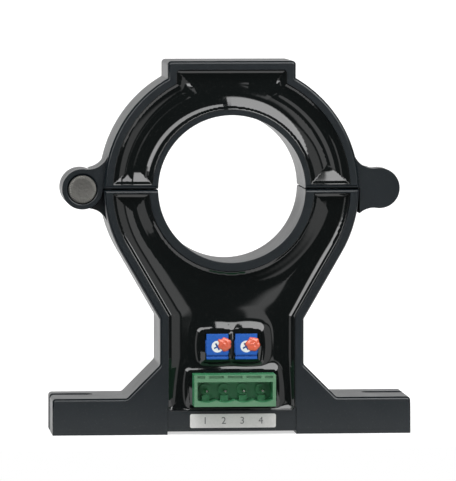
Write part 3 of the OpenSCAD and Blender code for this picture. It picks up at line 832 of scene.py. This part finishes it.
def makeNumbers(settings):
    ink, tree, shader = startMaterial("labelInk")
    surface = addSurface(tree, shader, settings["ink"])
    addBump(tree, surface.outputs["Height"], *settings["inkBump"], shader)
    low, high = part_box("terminal_label")
    for number in range(1, settings["numbers"] + 1):
        pinLow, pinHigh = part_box("contact_pin_" + str(number))
        curve = bpy.data.curves.new("number", "FONT")
        curve.body = str(number)
        curve.size = settings["height"] / settings["heightShare"]
        curve.align_x, curve.align_y = "CENTER", "CENTER"
        text = bpy.data.objects.new("number", curve)
        bpy.context.scene.collection.objects.link(text)
        bpy.context.view_layer.update()
        mesh = bpy.data.meshes.new_from_object(text.evaluated_get(bpy.context.evaluated_depsgraph_get()))
        bpy.data.objects.remove(text)
        for vertex in mesh.vertices:
            across, up = vertex.co.x, vertex.co.y
            vertex.co = Vector((
                (pinLow.x + pinHigh.x) / 2 + across, low.y - settings["proud"], (low.z + high.z) / 2 + up,
            ))
        mesh.materials.clear()
        mesh.materials.append(ink)
        piece = bpy.data.objects.new("labelNumber_" + str(number), mesh)
        bpy.context.scene.collection.objects.link(piece)
        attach(piece, "base_half")


makeNumbers(labelSettings)


# Lacquer: a hand-placed drop over the edge of each rotor
lacquerSettings = {
    "rings": 14,
    "spokes": 48,
    "spread": 1.4,  # how far it runs past the drop's CAD solid
    "shift": Vector((0.0002, 0.0, 0.0005)),
    "ragged": 0.544,
    "raggedScale": 1.6,
    "lumps": 0.45,
    "lumpScale": 900,
    "dome": 2.4,  # higher is flatter on top
    "plainShare": 0.1,  # its middle has no lumps
    "zero_trimmer": 3.0,  # where each drop's noise is read
    "gain_trimmer": 11.0,
}


def makeLacquer(trimmer, settings):
    low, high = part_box(trimmer + "_seal")
    middle, radius = (low + high) / 2 + settings["shift"], settings["spread"] * (high.x - low.x) / 2
    depth = high.y - low.y
    seed = settings[trimmer]
    vertices, faces = [(middle.x, low.y, middle.z)], []
    for ring in range(1, settings["rings"] + 1):
        share = ring / settings["rings"]
        for spoke in range(settings["spokes"]):
            angle = 2 * math.pi * spoke / settings["spokes"]
            direction = Vector((math.cos(angle), math.sin(angle), seed))
            ragged = settings["ragged"] * abs(noise.noise(direction * settings["raggedScale"]))
            reach = radius * (1 - ragged) * share
            across, up = reach * math.cos(angle), reach * math.sin(angle)
            spot = Vector((across * settings["lumpScale"], up * settings["lumpScale"], seed))
            lump = 1 - settings["lumps"] * abs(noise.noise(spot)) if share > settings["plainShare"] else 1
            height = depth * math.sqrt(max(0.0, 1 - share ** settings["dome"])) * lump
            vertices.append((middle.x + across, high.y - height, middle.z + up))
    spokes = settings["spokes"]
    for spoke in range(spokes):
        after = (spoke + 1) % spokes
        faces.append((0, 1 + spoke, 1 + after))
        for ring in range(settings["rings"] - 1):
            inner, outer = 1 + ring * spokes, 1 + (ring + 1) * spokes
            faces.append((inner + spoke, outer + spoke, outer + after, inner + after))
    mesh = bpy.data.meshes.new(trimmer + "Lacquer")
    mesh.from_pydata(vertices, [], faces)
    mesh.update()
    mesh.shade_smooth()
    mesh.materials.append(materials["seal_lacquer"])
    drop = bpy.data.objects.new(trimmer + "Lacquer", mesh)
    bpy.context.scene.collection.objects.link(drop)
    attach(drop, "base_half")
    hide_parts(trimmer + "_seal")


for trimmer in ("zero_trimmer", "gain_trimmer"):
    makeLacquer(trimmer, lacquerSettings)
print("label and lacquer made")


# Hinge pin: the serrated edge and the rough, slightly dished face of its head
pinSettings = {
    "teeth": 44,
    "samples": 6,
    "proud": 0.00022,
    "rings": [  # radius as a share of the head's, and height as a share of proud, for tooth and gap
        (0.0, 0.45, 0.45), (0.2, 0.45, 0.45), (0.45, 0.5, 0.5), (0.7, 0.6, 0.6), (0.84, 0.72, 0.72),
        (0.885, 1.0, 0.2), (0.95, 0.95, 0.0), (0.985, 0.55, -0.2), (1.0, -0.4, -0.6),
    ],
    "flank": 2.2,  # how steeply a tooth rises from its gap
    "gapShare": 0.6,
    "dents": 0.00003,
    "dentScale": 1300,
    "dentSeed": 4.0,
}


def makePinFace(settings):
    low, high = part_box("hinge_pin")
    middle, radius = (low + high) / 2, (high.x - low.x) / 2
    count = settings["teeth"] * settings["samples"]
    vertices, faces = [], []
    for share, tooth, gap in settings["rings"]:
        for place in range(count):
            angle = 2 * math.pi * place / count
            wave = 0.5 + 0.5 * math.cos(settings["teeth"] * angle)
            wave = min(1.0, max(0.0, settings["flank"] * wave - settings["gapShare"]))
            height = settings["proud"] * (gap + (tooth - gap) * wave)
            across, up = radius * share * math.cos(angle), radius * share * math.sin(angle)
            spot = Vector((across * settings["dentScale"], up * settings["dentScale"], settings["dentSeed"]))
            dent = settings["dents"] * noise.noise(spot)
            vertices.append((middle.x + across, low.y - height - dent, middle.z + up))
    for ring in range(len(settings["rings"]) - 1):
        inner, outer = ring * count, (ring + 1) * count
        for place in range(count):
            after = (place + 1) % count
            faces.append((inner + place, outer + place, outer + after, inner + after))
    mesh = bpy.data.meshes.new("knurledPinFace")
    mesh.from_pydata(vertices, [], faces)
    cleaned = bmesh.new()
    cleaned.from_mesh(mesh)
    bmesh.ops.remove_doubles(cleaned, verts=cleaned.verts, dist=1e-7)
    bmesh.ops.recalc_face_normals(cleaned, faces=cleaned.faces)
    if cleaned.faces[0].normal.y > 0:
        bmesh.ops.reverse_faces(cleaned, faces=cleaned.faces)
    cleaned.to_mesh(mesh)
    cleaned.free()
    mesh.shade_smooth()
    mesh.materials.append(materials["knurled_steel"])
    face = bpy.data.objects.new("knurledPinFace", mesh)
    bpy.context.scene.collection.objects.link(face)
    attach(face, "upper_half")


makePinFace(pinSettings)
print("pin face made")


# Stage: pale floor, plain soft light, and what the glossy faces mirror: a dark room with two lamps above
stageSettings = {
    "floorFront": -0.05,
    "floorBack": 60,
    "floorHalf": 30,
    "floorRoughness": 0.9,
    "floorColor": (0.5, 0.5, 0.5, 1),
    "floorGlow": 0.6,
    "roomLight": 1.15,
    "lampSize": (1.2, 0.7),
    "lampPower": 16.0,
    "lampPlace": Vector((-0.25, -1.0, 1.25)),
    "lampAim": Vector((0, 0, 0.05)),
    "darkLevel": 0.04,
    "mirrored": [  # brightness, limits to the right, ahead and upward with their soft edge, and any lean
        {"level": 6.2, "right": (0.068, 0.95), "ahead": (0.45, 0.93), "up": (0.31, 0.84), "soft": 0.05},
        {"level": 5.5, "right": (-0.95, 0.0), "ahead": (0.45, 0.7), "up": (0.12, 0.84), "soft": 0.04,
         "lean": 0.45},
        {"level": 0.75, "right": (0.36, 0.75), "ahead": (0.0, 1.1), "up": (-0.35, 0.25), "soft": 0.2},
        {"level": 1.1, "right": (0.13, 0.27), "ahead": (0.0, 1.1), "up": (-0.03, 0.12), "soft": 0.05},
        {"level": 0.8, "right": (-0.56, -0.44), "ahead": (0.0, 1.1), "up": (-0.3, 0.3), "soft": 0.03},
        {"level": 1.0, "right": (-1.1, 1.1), "ahead": (-1.1, -0.93), "up": (-1.1, 1.1), "soft": 0.07},
    ],
}


def makeCard(name, corners, material):
    mesh = bpy.data.meshes.new(name)
    mesh.from_pydata(corners, [], [(0, 1, 2, 3)])
    mesh.materials.append(material)
    card = bpy.data.objects.new(name, mesh)
    bpy.context.scene.collection.objects.link(card)


def seenDirectly(tree):
    # 1 where the camera, a reflection or a clear material looks at it, 0 for the light that it sheds
    path = tree.nodes.new("ShaderNodeLightPath")
    seen = addMath(tree, "MAXIMUM", path.outputs["Is Camera Ray"], path.outputs["Is Glossy Ray"])
    return addMath(tree, "MAXIMUM", seen, path.outputs["Is Transmission Ray"]), path


def makeFloor(settings):
    material, tree, shader = startMaterial("floor")
    setSockets(shader, Roughness=settings["floorRoughness"], Base_Color=settings["floorColor"])
    setSockets(shader, Emission_Color=(1, 1, 1, 1))
    seen, _ = seenDirectly(tree)
    glow = addMath(tree, "MULTIPLY", seen, settings["floorGlow"])
    tree.links.new(glow, shader.inputs["Emission Strength"])
    half, front, back = settings["floorHalf"], settings["floorFront"], settings["floorBack"]
    makeCard("floor", [(-half, front, 0), (half, front, 0), (half, back, 0), (-half, back, 0)], material)


def makeWorld(settings):
    world = bpy.data.worlds.new("room")
    bpy.context.scene.world = world
    world.use_nodes = True
    tree = world.node_tree
    background = tree.nodes["Background"]
    seen, path = seenDirectly(tree)
    parts = tree.nodes.new("ShaderNodeSeparateXYZ")
    tree.links.new(tree.nodes.new("ShaderNodeTexCoord").outputs["Generated"], parts.inputs[0])
    right, up = parts.outputs["X"], parts.outputs["Z"]
    ahead = addMath(tree, "MULTIPLY", parts.outputs["Y"], -1.0)
    mirrored = settings["darkLevel"]
    for patch in settings["mirrored"]:
        leaning = addMath(tree, "MULTIPLY_ADD", right, patch.get("lean", 0.0), ahead)
        shape = addMath(
            tree, "MULTIPLY",
            addBand(tree, right, *patch["right"], patch["soft"] / 4),
            addBand(tree, leaning, *patch["ahead"], patch["soft"]),
        )
        shape = addMath(tree, "MULTIPLY", shape, addBand(tree, up, *patch["up"], patch["soft"]))
        mirrored = addMath(tree, "MULTIPLY_ADD", shape, patch["level"], mirrored)
    mirrored = addMath(tree, "MULTIPLY", mirrored, path.outputs["Is Glossy Ray"])
    direct = addMath(tree, "MAXIMUM", path.outputs["Is Camera Ray"], path.outputs["Is Transmission Ray"])
    unseen = addMath(tree, "SUBTRACT", 1.0, seen)
    level = addMath(tree, "ADD", mirrored, direct)
    level = addMath(tree, "MULTIPLY_ADD", unseen, settings["roomLight"], level)
    tree.links.new(level, background.inputs["Strength"])
    background.inputs["Color"].default_value = (1, 1, 1, 1)


def makeLights(settings):
    lampData = bpy.data.lights.new("softLamp", "AREA")
    lampData.shape = "RECTANGLE"
    lampData.size, lampData.size_y = settings["lampSize"]
    lampData.energy = settings["lampPower"]
    lamp = bpy.data.objects.new("softLamp", lampData)
    bpy.context.scene.collection.objects.link(lamp)
    lamp.location = settings["lampPlace"]
    lamp.rotation_euler = (settings["lampAim"] - lamp.location).to_track_quat("-Z", "Y").to_euler()
    lamp.visible_glossy = False
    lamp.visible_camera = False


makeFloor(stageSettings)
makeWorld(stageSettings)
makeLights(stageSettings)
bpy.context.scene.view_settings.view_transform = "Standard"
print("stage set")
